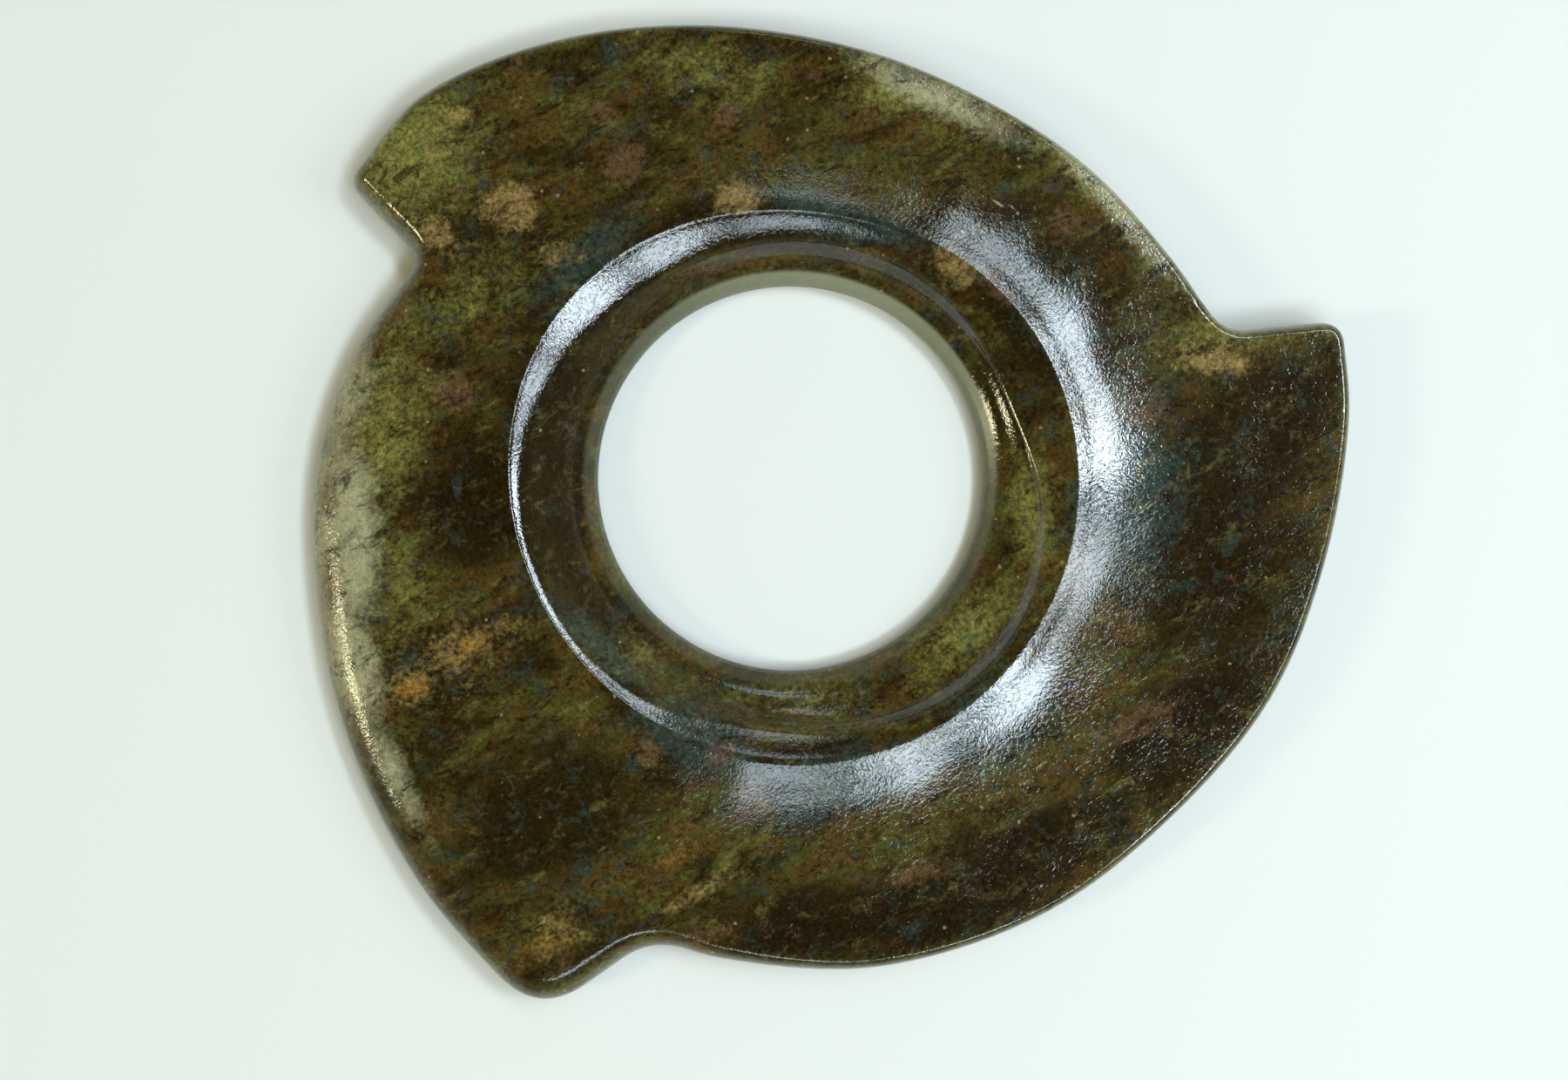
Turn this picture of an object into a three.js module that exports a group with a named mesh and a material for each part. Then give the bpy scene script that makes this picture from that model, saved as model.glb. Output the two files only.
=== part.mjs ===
// A notched jade disc: one flat ring of stone with three hooked teeth on its edge, carved from one slab.
// Units are millimetres, +Z is up, and the disc lies on its plain underside.
// Angles are in degrees about the bore's axis, counter-clockwise seen from above.
import * as THREE from 'three';

// The bore, drilled from both faces, so it is narrowest at a waist between them
const BORE_RADIUS = 20.6;
const WAIST_HEIGHT = 1.6;
const UNDER_FLARE = 0.4;
const MOUTH_FLARE = 1.2;
const MOUTH_HEIGHT = 2.9;
const MOUTH_ROUND_WIDTH = 1.4;
const MOUTH_ROUND_HEIGHT = 0.8;

// The dished lip round the bore, which is wide on one side and runs out on the other
const LIP_WIDTH = 4;
const LIP_LEAST_WIDTH = 0.5;
const LIP_RISE_RATIO = 0.35;

// The slope from the lip up to the crest, which is steep at first and then a gentler shelf
const SLOPE_RISE_RATIO = 0.75;
const SHELF_WIDTH = 0.9;
const SHELF_RISE_RATIO = 0.37;
const SHELF_STEEPENING_RATIO = 0.09;
const CREST_RADIUS = 29.1;
const CREST_SWELL_WIDTH = 1.5;
const CREST_DIP_WIDTH = 0.9;
const CREST_HEIGHT = 7.5;
const CREST_SHIFT_X = 0.6;
const CREST_SHIFT_Y = -0.6;
const CREST_ROUND_WIDTH = 0.6;
const CREST_ROUND_SWELL_WIDTH = 2.4;

// The face outside the crest, which sweeps down from it and flattens out towards the edge
const SHOULDER_WIDTH = 4.4;
const FACE_FALL_HEIGHT = 1.5;
const FACE_SWEEP_WIDTH = 5.5;
const FACE_SLOPE_RATIO = 0.01;

// The rounded edge
const EQUATOR_HEIGHT = 2.3;
const EDGE_ROUND = 1.2;
const EDGE_ROUND_SWELL_WIDTH = 4.8;
const UNDER_ROUND = 2.6;

// The outline. An arm runs from the notch behind it to the tip of its tooth.
// Its stations are angles, and distances from the axis as shares of REACH.
const REACH = 60;
const UPPER_ARM = {
  stations: [[18.6, 0.812], [22, 0.796], [30, 0.778], [46, 0.761], [62, 0.752], [80, 0.768],
    [100, 0.813], [118, 0.878], [134, 0.941], [146.3, 0.945]],
  tipRound: 2.2,
  notchRound: 2.2,
};
const LEFT_ARM = {
  stations: [[149.3, 0.763], [165, 0.808], [180, 0.842], [198, 0.875], [212, 0.917], [228, 0.978],
    [245, 1.058]],
  tipRound: 6.3,
  notchRound: 3.8,
};
const RIGHT_ARM = {
  stations: [[253.3, 0.853], [262, 0.861], [280, 0.88], [300, 0.893], [318, 0.903], [335, 0.935],
    [350, 0.956], [366, 0.994], [376, 1.015]],
  tipRound: 2.8,
  notchRound: 2.3,
};
const ARMS = [UPPER_ARM, LEFT_ARM, RIGHT_ARM];

// Where the hand work makes the ring uneven
const LIP_TOWARDS = 319;
const LIP_FOCUS = 4.5;
const SHELF_STEEP_TOWARDS = 20;
const SHELF_SWELLS = [
  { towards: 18, focus: 16, width: 3.8 },
  { towards: 60, focus: 10, width: 1.6 },
  { towards: 128, focus: 8, width: 3.2 },
  { towards: 262, focus: 16, width: 2 },
];
const CREST_SWELL_TOWARDS = 150;
const CREST_SWELL_FOCUS = 8;
const CREST_DIP_TOWARDS = 78;
const CREST_DIP_FOCUS = 12;
const EDGE_SOFT_TOWARDS = 198;
const EDGE_SOFT_FOCUS = 6;

// How finely the stone is divided
const ARM_STEPS = 30;
const TIP_STEPS = 6;
const FACE_STEPS = 5;
const NOTCH_STEPS = 7;
const SECTION_STEPS = 20;
const FACE_ROWS = 9;
const RELAX_ROUNDS = 120;
const SPREAD_ROUNDS = 40;

const JADE = new THREE.MeshStandardMaterial({ color: 0x3d3b20, roughness: 0.3, metalness: 0 });

const radians = THREE.MathUtils.degToRad;

// One towards the given angle, zero away from it, and the narrower the higher the focus
function facing(angle, towards, focus) {
  return (0.5 + 0.5 * Math.cos(angle - radians(towards))) ** focus;
}

function wrap(index, count) {
  return (index + count) % count;
}

// The arm as a smooth curve, from the corner of the notch behind it to the corner of its tip
function armCurve(arm) {
  const points = arm.stations.map(([angle, share]) => new THREE.Vector3(
    REACH * share * Math.cos(radians(angle)), REACH * share * Math.sin(radians(angle)), 0));
  return new THREE.CatmullRomCurve3(points, false, 'centripetal');
}

function pushSteps(points, curve, from, to, steps) {
  for (let step = 0; step < steps; step += 1) {
    const point = curve.getPointAt(THREE.MathUtils.lerp(from, to, step / steps));
    points.push(new THREE.Vector2(point.x, point.y));
  }
}

// The closed outline: each arm, its rounded tip, the straight face of its tooth and the rounded notch
function outlinePoints() {
  const curves = ARMS.map(armCurve);
  const points = [];
  ARMS.forEach((arm, index) => {
    const curve = curves[index];
    const before = ARMS[wrap(index - 1, ARMS.length)];
    const next = curves[wrap(index + 1, ARMS.length)];
    const from = before.notchRound / curve.getLength();
    const to = 1 - arm.tipRound / curve.getLength();
    const tip = curve.getPoint(1);
    const notch = next.getPoint(0);
    const down = notch.clone().sub(tip).normalize();
    const faceTop = tip.clone().addScaledVector(down, arm.tipRound);
    const faceFoot = notch.clone().addScaledVector(down, -arm.notchRound);
    const afterNotch = next.getPointAt(arm.notchRound / next.getLength());
    pushSteps(points, curve, from, to, ARM_STEPS);
    pushSteps(points, new THREE.QuadraticBezierCurve3(curve.getPointAt(to), tip, faceTop), 0, 1, TIP_STEPS);
    pushSteps(points, new THREE.LineCurve3(faceTop, faceFoot), 0, 1, FACE_STEPS);
    pushSteps(points, new THREE.QuadraticBezierCurve3(faceFoot, notch, afterNotch), 0, 1, NOTCH_STEPS);
  });
  return points;
}

// Angles for the round part of the stone: those of the outline's points, spread out behind the teeth
function spreadAngles(outline) {
  const count = outline.length;
  const turn = 2 * Math.PI;
  const first = Math.atan2(outline[0].y, outline[0].x);
  const ahead = outline.map((point) => {
    const angle = Math.atan2(point.y, point.x) - first;
    return (angle + turn + 1e-9) % turn;
  });
  let shift = ahead.map((angle, index) => angle - turn * index / count);
  for (let round = 0; round < SPREAD_ROUNDS; round += 1) {
    shift = shift.map((value, index) => 0.5 * value
      + 0.25 * (shift[wrap(index - 1, count)] + shift[wrap(index + 1, count)]));
  }
  return shift.map((value, index) => first + value + turn * index / count);
}

// Radius of the crest about its own shifted centre
function crestRadiusAt(angle) {
  return CREST_RADIUS + CREST_SWELL_WIDTH * facing(angle, CREST_SWELL_TOWARDS, CREST_SWELL_FOCUS)
    - CREST_DIP_WIDTH * facing(angle, CREST_DIP_TOWARDS, CREST_DIP_FOCUS);
}

// Height of the upper face at a distance outside the crest, which is rounder where the crest swells
function sweptHeight(out, angle) {
  const round = CREST_ROUND_WIDTH
    + CREST_ROUND_SWELL_WIDTH * facing(angle, CREST_SWELL_TOWARDS, CREST_SWELL_FOCUS);
  const eased = Math.hypot(Math.max(out, 0), round) - round;
  const sweep = FACE_FALL_HEIGHT * (1 - Math.exp(-eased / FACE_SWEEP_WIDTH));
  return CREST_HEIGHT - sweep - FACE_SLOPE_RATIO * eased;
}

function faceHeight(point) {
  const x = point.x - CREST_SHIFT_X;
  const y = point.y - CREST_SHIFT_Y;
  const angle = Math.atan2(y, x);
  return sweptHeight(Math.hypot(x, y) - crestRadiusAt(angle), angle);
}

function shelfWidthAt(angle) {
  return SHELF_SWELLS.reduce((sum, swell) => sum
    + swell.width * facing(angle, swell.towards, swell.focus), SHELF_WIDTH);
}

function shelfRatioAt(angle) {
  return SHELF_RISE_RATIO + SHELF_STEEPENING_RATIO * facing(angle, SHELF_STEEP_TOWARDS, 2);
}

// A rise from zero to one that starts steep and ends gently, the more so the greater the bulge
function bulging(share, bulge) {
  return share + bulge * share * (1 - share);
}

// The ring's section at one angle: the bore's wall from below, its mouth, the lip, the slope and the crest.
// Each station is a radius, a share of the crest's shift, and a height.
function sectionCurve(angle) {
  const lipShare = facing(angle, LIP_TOWARDS, LIP_FOCUS);
  const mouth = BORE_RADIUS + MOUTH_FLARE;
  const mouthBulge = 0.1 + 0.5 * lipShare;
  const lip = mouth + MOUTH_ROUND_WIDTH;
  const lipHeight = MOUTH_HEIGHT + MOUTH_ROUND_HEIGHT;
  const lipWidth = THREE.MathUtils.lerp(LIP_LEAST_WIDTH, LIP_WIDTH, lipShare);
  const lipRise = lipWidth * THREE.MathUtils.lerp(SLOPE_RISE_RATIO, LIP_RISE_RATIO, lipShare);
  const foot = lip + lipWidth;
  const crest = crestRadiusAt(angle);
  const shelf = shelfWidthAt(angle);
  const shelfHeight = CREST_HEIGHT - shelf * shelfRatioAt(angle);
  const mouthStation = (share) => [mouth + share * MOUTH_ROUND_WIDTH, 0,
    MOUTH_HEIGHT + MOUTH_ROUND_HEIGHT * bulging(share, mouthBulge)];
  const slopeStation = (share) => [THREE.MathUtils.lerp(foot, crest - shelf, share), 0.3 + 0.5 * share,
    THREE.MathUtils.lerp(lipHeight + lipRise, shelfHeight, share)];
  const shelfStation = (share) => [crest - (1 - share) * shelf, 0.8 + 0.2 * share,
    THREE.MathUtils.lerp(shelfHeight, CREST_HEIGHT, share)];
  const faceStation = (out) => [crest + out, 1, sweptHeight(out, angle)];
  const stations = [
    [BORE_RADIUS + UNDER_FLARE, 0, 0],
    [BORE_RADIUS + 0.3 * UNDER_FLARE, 0, 0.4 * WAIST_HEIGHT],
    [BORE_RADIUS, 0, WAIST_HEIGHT],
    [BORE_RADIUS + 0.4 * MOUTH_FLARE, 0, THREE.MathUtils.lerp(WAIST_HEIGHT, MOUTH_HEIGHT, 0.6)],
    mouthStation(0),
    mouthStation(0.35),
    mouthStation(0.7),
    [lip, 0.1, lipHeight],
    [lip + 0.5 * lipWidth, 0.2, lipHeight + 0.5 * lipRise],
    slopeStation(0),
    slopeStation(0.5),
    slopeStation(0.9),
    shelfStation(0.2),
    shelfStation(0.75),
    shelfStation(1),
    faceStation(0.8),
    faceStation(0.5 * SHOULDER_WIDTH),
    faceStation(SHOULDER_WIDTH),
  ];
  return new THREE.CatmullRomCurve3(stations.map(([radius, share, height]) => new THREE.Vector3(
    radius, share, height)), false, 'centripetal');
}

function sectionRows(angles) {
  const rows = Array.from({ length: SECTION_STEPS }, () => []);
  angles.forEach((angle) => {
    const curve = sectionCurve(angle);
    rows.forEach((row, step) => {
      const station = curve.getPoint(step / (SECTION_STEPS - 1));
      row.push(new THREE.Vector3(
        station.x * Math.cos(angle) + station.y * CREST_SHIFT_X,
        station.x * Math.sin(angle) + station.y * CREST_SHIFT_Y,
        Math.max(station.z, 0)));
    });
  });
  return rows;
}

// Rows of points from the shoulder to the outline, relaxed until they cross no tooth and bunch in no notch
function faceRows(shoulder, outline) {
  const count = outline.length;
  const rows = [];
  for (let row = 0; row <= FACE_ROWS; row += 1) {
    rows.push(outline.map((point, index) => new THREE.Vector2(shoulder[index].x, shoulder[index].y)
      .lerp(point, row / FACE_ROWS)));
  }
  for (let round = 0; round < RELAX_ROUNDS; round += 1) {
    for (let row = 1; row < FACE_ROWS; row += 1) {
      for (let index = 0; index < count; index += 1) {
        const left = wrap(index - 1, count);
        const right = wrap(index + 1, count);
        const along = rows[row][right].clone().sub(rows[row][left]).multiplyScalar(0.5);
        const across = rows[row + 1][index].clone().sub(rows[row - 1][index]).multiplyScalar(0.5);
        const alongWeight = across.lengthSq();
        const acrossWeight = along.lengthSq();
        const twist = rows[row + 1][right].clone().sub(rows[row - 1][right])
          .sub(rows[row + 1][left]).add(rows[row - 1][left]).multiplyScalar(0.25);
        rows[row][index] = rows[row][right].clone().add(rows[row][left]).multiplyScalar(alongWeight)
          .addScaledVector(rows[row + 1][index], acrossWeight)
          .addScaledVector(rows[row - 1][index], acrossWeight)
          .addScaledVector(twist, -2 * along.dot(across))
          .multiplyScalar(0.5 / (alongWeight + acrossWeight));
      }
    }
  }
  return rows;
}

// One path for each point of the outline, running inwards over the face to the shoulder
function inwardPaths(rows) {
  return rows[0].map((start, index) => new THREE.CatmullRomCurve3(
    rows.map((row) => new THREE.Vector3(row[index].x, row[index].y, 0)).reverse(), false, 'centripetal'));
}

// How squarely a path leaves the outline: one at a right angle, less when it leaves at a slant
function squareness(path, outline, index) {
  const before = outline[wrap(index - 1, outline.length)];
  const after = outline[wrap(index + 1, outline.length)];
  const along = after.clone().sub(before).normalize();
  const inwards = path.getTangent(0);
  return Math.abs(along.x * inwards.y - along.y * inwards.x);
}

function distanceToOutline(point, outline) {
  let nearest = Infinity;
  outline.forEach((start, index) => {
    const side = outline[wrap(index + 1, outline.length)].clone().sub(start);
    const offset = new THREE.Vector2(point.x, point.y).sub(start);
    const share = THREE.MathUtils.clamp(offset.dot(side) / side.lengthSq(), 0, 1);
    nearest = Math.min(nearest, offset.addScaledVector(side, -share).length());
  });
  return nearest;
}

// A quarter round: zero at the outline, one at its full width in from the outline
function roundness(distance, width) {
  const left = 1 - Math.min(distance / width, 1);
  return Math.sqrt(1 - left * left);
}

function edgeRoundAt(point) {
  const angle = Math.atan2(point.y, point.x);
  return EDGE_ROUND + EDGE_ROUND_SWELL_WIDTH * facing(angle, EDGE_SOFT_TOWARDS, EDGE_SOFT_FOCUS);
}

// Rows beside the outline, at shares of the round's width, set in along the paths
function edgeRow(paths, outline, share, roundAt, heightAt) {
  return paths.map((path, index) => {
    const slant = Math.max(squareness(path, outline, index), 0.4);
    const travel = share * roundAt(outline[index]) / slant;
    const point = path.getPointAt(Math.min(travel / path.getLength(), 0.9));
    const distance = share === 0 ? 0 : distanceToOutline(point, outline);
    return new THREE.Vector3(point.x, point.y, heightAt(point, distance));
  });
}

function upperHeight(point, distance) {
  const rise = faceHeight(point) - EQUATOR_HEIGHT;
  return EQUATOR_HEIGHT + rise * roundness(distance, edgeRoundAt(point));
}

function underHeight(point, distance) {
  return EQUATOR_HEIGHT * (1 - roundness(distance, UNDER_ROUND));
}

// Rows that share out what is left of each path between its edge and the shoulder
function middleRow(paths, edge, share) {
  return paths.map((path, index) => {
    const length = path.getLength();
    const start = path.getPoint(0);
    const used = Math.hypot(edge[index].x - start.x, edge[index].y - start.y) / length;
    const point = path.getPointAt(THREE.MathUtils.lerp(used, 1, share));
    return new THREE.Vector3(point.x, point.y, faceHeight(point));
  });
}

function underMouthRow(shoulder) {
  return shoulder.map((point) => new THREE.Vector3(point.x, point.y, 0));
}

// The rows in the order that a string would touch them, wound once round the ring's section
function allRows() {
  const outline = outlinePoints();
  const angles = spreadAngles(outline);
  const section = sectionRows(angles);
  const shoulder = section[SECTION_STEPS - 1];
  const paths = inwardPaths(faceRows(shoulder, outline));
  const upperEdge = [1.35, 0.85, 0.5, 0.24, 0.07].map((share) => edgeRow(
    paths, outline, share, edgeRoundAt, upperHeight));
  const middle = [0.75, 0.5, 0.25].map((share) => middleRow(paths, upperEdge[0], share));
  const equator = edgeRow(paths, outline, 0, edgeRoundAt, () => EQUATOR_HEIGHT);
  const underEdge = [0.1, 0.35, 0.8, 1.5].map((share) => edgeRow(
    paths, outline, share, () => UNDER_ROUND, underHeight));
  return [...section, ...middle, ...upperEdge, equator, ...underEdge, underMouthRow(shoulder)];
}

function ringGeometry(rows) {
  const count = rows[0].length;
  const positions = rows.flat().flatMap((point) => [point.x, point.y, point.z]);
  const indices = [];
  rows.forEach((row, index) => {
    const above = wrap(index + 1, rows.length);
    for (let step = 0; step < count; step += 1) {
      const next = wrap(step + 1, count);
      const here = [index * count + step, index * count + next];
      const there = [above * count + step, above * count + next];
      indices.push(here[0], there[1], here[1], here[0], there[0], there[1]);
    }
  });
  const geometry = new THREE.BufferGeometry();
  geometry.setAttribute('position', new THREE.Float32BufferAttribute(positions, 3));
  geometry.setIndex(indices);
  return geometry;
}

// The bottom centre of the stone's box is the origin
function notchedDisc() {
  const geometry = ringGeometry(allRows());
  geometry.computeBoundingBox();
  const { min, max } = geometry.boundingBox;
  geometry.translate(-0.5 * (min.x + max.x), -0.5 * (min.y + max.y), -min.z);
  geometry.computeVertexNormals();
  const disc = new THREE.Mesh(geometry, JADE);
  disc.name = 'notched_jade_disc';
  return disc;
}

const part = new THREE.Group();
part.add(notchedDisc());

export default part;
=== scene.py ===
"""A notched jade disc, dressed for looks: a dense polished stone on a plain pale floor.

Lengths in the named sizes are millimetres about the axis of the bore, and angles are degrees,
counter-clockwise seen from above. The stone's points are turned into metres in the row frame at
the end.
"""

import bpy
import numpy as np
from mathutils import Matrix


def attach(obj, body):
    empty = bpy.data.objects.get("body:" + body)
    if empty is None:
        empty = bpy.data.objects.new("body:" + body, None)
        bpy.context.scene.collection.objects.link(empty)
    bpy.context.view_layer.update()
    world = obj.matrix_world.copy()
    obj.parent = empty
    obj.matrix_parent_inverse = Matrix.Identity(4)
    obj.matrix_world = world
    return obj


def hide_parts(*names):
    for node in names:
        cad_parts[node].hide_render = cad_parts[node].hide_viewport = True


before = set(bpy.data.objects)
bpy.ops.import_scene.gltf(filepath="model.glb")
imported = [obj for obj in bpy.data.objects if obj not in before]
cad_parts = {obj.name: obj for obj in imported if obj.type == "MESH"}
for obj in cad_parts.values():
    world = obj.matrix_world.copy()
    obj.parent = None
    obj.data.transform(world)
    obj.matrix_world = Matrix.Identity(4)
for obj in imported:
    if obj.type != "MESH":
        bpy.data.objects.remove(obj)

NODE = "notched_jade_disc"
MM = 0.001

# The bore, drilled from both faces
BORE_RADIUS = 20.6
WAIST_HEIGHT = 1.6
UNDER_FLARE = 0.4
MOUTH_FLARE = 1.2
MOUTH_HEIGHT = 2.9
MOUTH_ROUND_WIDTH = 1.4
MOUTH_ROUND_HEIGHT = 0.8

# The dished lip round the bore, which is wide on one side and runs out on the other
LIP_WIDTH = 4.0
LIP_LEAST_WIDTH = 0.5
LIP_RISE_RATIO = 0.35

# The slope that climbs from the lip, steep at first and then as a gentler shelf, and its crest
SLOPE_RISE_RATIO = 0.75
SHELF_WIDTH = 0.9
SHELF_RISE_RATIO = 0.37
SHELF_STEEPENING_RATIO = 0.09
CREST_RADIUS = 29.1
CREST_SWELL_WIDTH = 1.5
CREST_DIP_WIDTH = 0.9
CREST_HEIGHT = 7.5
CREST_SHIFT = np.array([0.6, -0.6])
CREST_ROUND_WIDTH = 0.6
CREST_ROUND_SWELL_WIDTH = 2.4

# The face outside the crest, which sweeps down from it and flattens out, and the rounded edge
SHOULDER_WIDTH = 4.4
FACE_FALL_HEIGHT = 1.5
FACE_SWEEP_WIDTH = 5.5
FACE_SLOPE_RATIO = 0.01
EQUATOR_HEIGHT = 2.3
EDGE_ROUND = 1.2
EDGE_ROUND_SWELL_WIDTH = 4.8
UNDER_ROUND = 2.6

# The outline: each arm's stations are angles, and distances from the axis as shares of REACH
REACH = 60.0
ARMS = [
    {"stations": [(18.6, 0.812), (22, 0.796), (30, 0.778), (46, 0.761), (62, 0.752), (80, 0.768),
                  (100, 0.813), (118, 0.878), (134, 0.941), (146.3, 0.945)],
     "tip_round": 2.2, "notch_round": 2.2},
    {"stations": [(149.3, 0.763), (165, 0.808), (180, 0.842), (198, 0.875), (212, 0.917), (228, 0.978),
                  (245, 1.058)],
     "tip_round": 6.3, "notch_round": 3.8},
    {"stations": [(253.3, 0.853), (262, 0.861), (280, 0.88), (300, 0.893), (318, 0.903), (335, 0.935),
                  (350, 0.956), (366, 0.994), (376, 1.015)],
     "tip_round": 2.8, "notch_round": 2.3},
]

# Where the hand work makes the ring uneven
LIP_TOWARDS = 319.0
LIP_FOCUS = 4.5
SHELF_STEEP_TOWARDS = 20.0
SHELF_SWELLS = [
    {"towards": 18.0, "focus": 16.0, "width": 3.8},
    {"towards": 60.0, "focus": 10.0, "width": 1.6},
    {"towards": 128.0, "focus": 8.0, "width": 3.2},
    {"towards": 262.0, "focus": 16.0, "width": 2.0},
]
CREST_SWELL_TOWARDS = 150.0
CREST_SWELL_FOCUS = 8.0
CREST_DIP_TOWARDS = 78.0
CREST_DIP_FOCUS = 12.0
EDGE_SOFT_TOWARDS = 198.0
EDGE_SOFT_FOCUS = 6.0

# How finely the stone is divided
ARM_STEPS = 150
TIP_STEPS = 30
FACE_STEPS = 25
NOTCH_STEPS = 35
SPAN_STEPS = 4
MIDDLE_ROWS = 20
UPPER_EDGE_ROWS = 22
UNDER_EDGE_ROWS = 14
RELAX_ROWS = 9
RELAX_ROUNDS = 1500
SPREAD_ROUNDS = 1000
CURVE_STEPS = 40
PATH_STEPS = 10
EVENING_ROUNDS = 6

# Where the rows of the edge end, as a multiple of the round's width, and where the flat rows of the
# underside lie: past that by so much, and then as shares of the way to the bore
EDGE_REACH = 1.4
UNDER_FACE_WIDTHS = (1.0, 2.2, 4.0)
UNDER_RING_SHARES = (0.0, 0.3, 0.6, 0.85)
LEAST_SLANT = 0.4

# The waves that grinding by hand leaves in the polish
WAVE_SEED = 7
WAVE_COUNT = 14
WAVE_LENGTHS = (5.0, 17.0)
WAVE_HEIGHT = 0.013
WAVE_FOOT_HEIGHT = 3.6
WAVE_FADE_HEIGHT = 1.6


def facing(angle, towards, focus):
    """One towards the given angle, zero away from it, and the narrower the higher the focus."""
    return (0.5 + 0.5 * np.cos(angle - np.radians(towards))) ** focus


def polar(angle, radius):
    return np.stack([radius * np.cos(angle), radius * np.sin(angle)], axis=-1)


def smooth_curve(stations, steps):
    """A centripetal curve through the stations, the first axis, with so many steps in each span."""
    before_first = 2 * stations[0] - stations[1]
    after_last = 2 * stations[-1] - stations[-2]
    ends = np.concatenate([[before_first], stations, [after_last]])
    gaps = np.maximum(np.linalg.norm(np.diff(ends, axis=0), axis=-1, keepdims=True), 1e-9) ** 0.5
    points = []
    for span in range(len(stations) - 1):
        before, start, end, after = ends[span:span + 4]
        first, middle, last = gaps[span:span + 3]
        leave = middle * ((start - before) / first - (end - before) / (first + middle)
                          + (end - start) / middle)
        reach = middle * ((end - start) / middle - (after - start) / (middle + last)
                          + (after - end) / last)
        for step in range(steps):
            t = step / steps
            points.append((2 * t**3 - 3 * t**2 + 1) * start + (t**3 - 2 * t**2 + t) * leave
                          + (3 * t**2 - 2 * t**3) * end + (t**3 - t**2) * reach)
    return np.array(points + [stations[-1]])


def along(curve, distances):
    """Points at the given distances along a curve of many short steps."""
    run = np.concatenate([[0], np.cumsum(np.linalg.norm(np.diff(curve, axis=0), axis=1))])
    return np.stack([np.interp(distances, run, column) for column in curve.T], axis=-1)


def curve_length(curve):
    return np.linalg.norm(np.diff(curve, axis=0), axis=1).sum()


def rounded_corner(start, corner, end, steps):
    t = np.linspace(0, 1, steps, endpoint=False)[:, None]
    return (1 - t)**2 * start + 2 * t * (1 - t) * corner + t**2 * end


def outline_points():
    """The closed outline: each arm, its rounded tip, its tooth's straight face and the rounded notch."""
    curves = []
    for arm in ARMS:
        angle, share = np.array(arm["stations"]).T
        curves.append(smooth_curve(polar(np.radians(angle), REACH * share), CURVE_STEPS))
    points = []
    for index, arm in enumerate(ARMS):
        curve = curves[index]
        following = curves[(index + 1) % len(ARMS)]
        start = ARMS[index - 1]["notch_round"]
        end = curve_length(curve) - arm["tip_round"]
        tip, notch = curve[-1], following[0]
        down = (notch - tip) / np.linalg.norm(notch - tip)
        face_top = tip + down * arm["tip_round"]
        face_foot = notch - down * arm["notch_round"]
        after_notch = along(following, [arm["notch_round"]])[0]
        share = np.linspace(0, 1, FACE_STEPS, endpoint=False)[:, None]
        points += [
            along(curve, np.linspace(start, end, ARM_STEPS, endpoint=False)),
            rounded_corner(along(curve, [end])[0], tip, face_top, TIP_STEPS),
            face_top + share * (face_foot - face_top),
            rounded_corner(face_foot, notch, after_notch, NOTCH_STEPS),
        ]
    return np.concatenate(points)


def spread_angles(outline):
    """Angles for the stone's round part: those of the outline's points, spread out behind the teeth."""
    even = 2 * np.pi * np.arange(len(outline)) / len(outline)
    first = np.arctan2(outline[0, 1], outline[0, 0])
    angle = np.arctan2(outline[:, 1], outline[:, 0]) - first
    shift = (angle + 1e-9) % (2 * np.pi) - even
    for _ in range(SPREAD_ROUNDS):
        shift = 0.5 * shift + 0.25 * (np.roll(shift, 1) + np.roll(shift, -1))
    return first + shift + even


def crest_radius_at(angle):
    """Radius of the crest about its own shifted centre."""
    swell = CREST_SWELL_WIDTH * facing(angle, CREST_SWELL_TOWARDS, CREST_SWELL_FOCUS)
    dip = CREST_DIP_WIDTH * facing(angle, CREST_DIP_TOWARDS, CREST_DIP_FOCUS)
    return CREST_RADIUS + swell - dip


def swept_height(out, angle):
    """Height of the upper face so far outside the crest, which is rounder where it swells."""
    swell = facing(angle, CREST_SWELL_TOWARDS, CREST_SWELL_FOCUS)
    rounding = CREST_ROUND_WIDTH + CREST_ROUND_SWELL_WIDTH * swell
    eased = np.hypot(np.maximum(out, 0), rounding) - rounding
    sweep = FACE_FALL_HEIGHT * (1 - np.exp(-eased / FACE_SWEEP_WIDTH))
    return CREST_HEIGHT - sweep - FACE_SLOPE_RATIO * eased


def face_height(point):
    offset = point - CREST_SHIFT
    angle = np.arctan2(offset[..., 1], offset[..., 0])
    return swept_height(np.linalg.norm(offset, axis=-1) - crest_radius_at(angle), angle)


def shelf_width_at(angle):
    return SHELF_WIDTH + sum(swell["width"] * facing(angle, swell["towards"], swell["focus"])
                             for swell in SHELF_SWELLS)


def shelf_ratio_at(angle):
    return SHELF_RISE_RATIO + SHELF_STEEPENING_RATIO * facing(angle, SHELF_STEEP_TOWARDS, 2)


def bulging(share, bulge):
    """A rise from zero to one that starts steep and ends gently, the more so the greater the bulge."""
    return share + bulge * share * (1 - share)


def between(start, end, share):
    return start + share * (end - start)


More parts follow.
